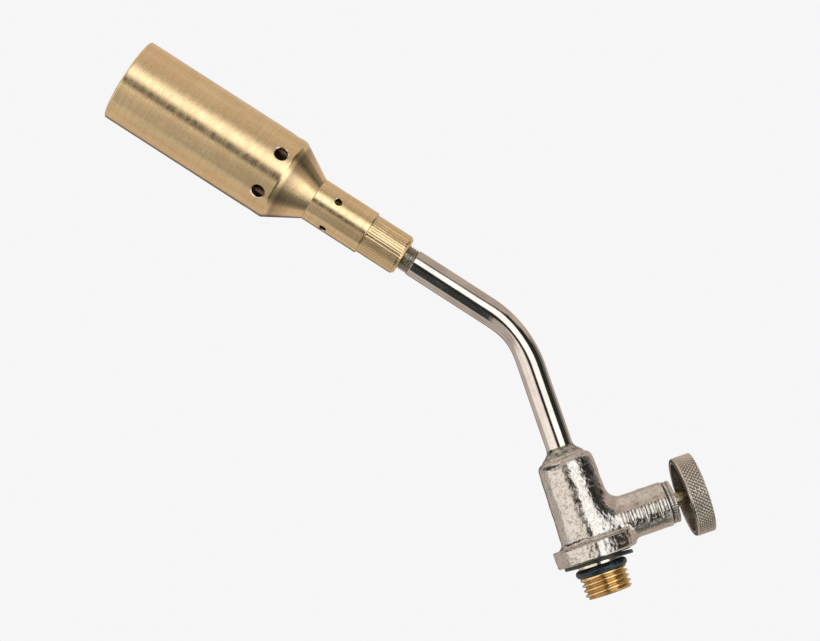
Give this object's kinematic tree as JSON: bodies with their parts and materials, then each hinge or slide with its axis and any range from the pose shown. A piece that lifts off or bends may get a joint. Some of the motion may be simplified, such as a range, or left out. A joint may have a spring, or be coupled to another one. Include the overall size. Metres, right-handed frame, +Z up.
{
  "type": "propane torch",
  "caption": "Hand torch head: brass burner on a bent plated tube, side needle valve with a knurled knob, and a male screw inlet with rubber seals.",
  "frame": {"origin": "centre of the valve body's underside, where the inlet washer seats, on the inlet's axis", "axes": "+Z up the barrel, +X out along the valve arm to the knob, and the burner leans over towards -X in the XZ plane"},
  "size_m": [0.1292, 0.0258, 0.1947],
  "materials": {
    "satin_brass": "satin, turned",
    "bright_brass": "machined",
    "nickel_tube": "polished nickel plate",
    "cast_nickel": "nickel plate over a rough casting",
    "braze_metal": "brazed, plated over",
    "knob_metal": "knurled, dull plated",
    "black_rubber": "matte",
    "washer_rubber": "matte",
    "fibre": "matte",
    "sintered_bronze": "porous, matte",
    "screw_steel": "bright zinc"
  },
  "bodies": {
    "torch_body": {"bent_tube": "nickel_tube", "braze_fillet": "braze_metal", "valve_body": "cast_nickel", "valve_seat": "bright_brass", "gland_nut": "cast_nickel", "gland_seal": "fibre", "inlet_connector": "bright_brass", "inlet_washer": "washer_rubber", "inlet_oring": "black_rubber", "inlet_filter": "sintered_bronze", "opening_pin": "bright_brass"},
    "stem_seal": {"spindle_oring": "black_rubber"},
    "valve_spindle": {"spindle": "bright_brass", "control_knob": "knob_metal", "knob_hub": "bright_brass", "knob_screw": "screw_steel"},
    "burner_seal": {"jet_seal": "fibre"},
    "burner": {"flame_tube": "satin_brass", "mixer_neck": "satin_brass", "burner_collar": "satin_brass", "jet": "bright_brass", "jet_filter": "sintered_bronze", "mixing_nozzle": "bright_brass", "flame_holder": "bright_brass"}
  },
  "joints": [
    {"name": "spindle_travel", "type": "slide", "parent": "torch_body", "child": "stem_seal", "axis": [1, 0, 0], "range_m": [0, 0.0025]},
    {"name": "knob_turn", "type": "hinge", "parent": "stem_seal", "child": "valve_spindle", "pos_m": [0, 0, 0.0081], "axis": [1, 0, 0], "range_deg": [0, 900]},
    {"name": "burner_travel", "type": "slide", "parent": "torch_body", "child": "burner_seal", "axis": [-0.6211, 0, 0.7837], "range_m": [0, 0.012]},
    {"name": "burner_turn", "type": "hinge", "parent": "burner_seal", "child": "burner", "pos_m": [-0.02292, 0, 0.09832], "axis": [-0.6211, 0, 0.7837], "range_deg": [0, 5760]}
  ],
  "couplings": [
    {"joint": "spindle_travel", "follows": "knob_turn", "m_per_rad": 0.00015915},
    {"joint": "burner_travel", "follows": "burner_turn", "m_per_rad": 0.00011936}
  ]
}
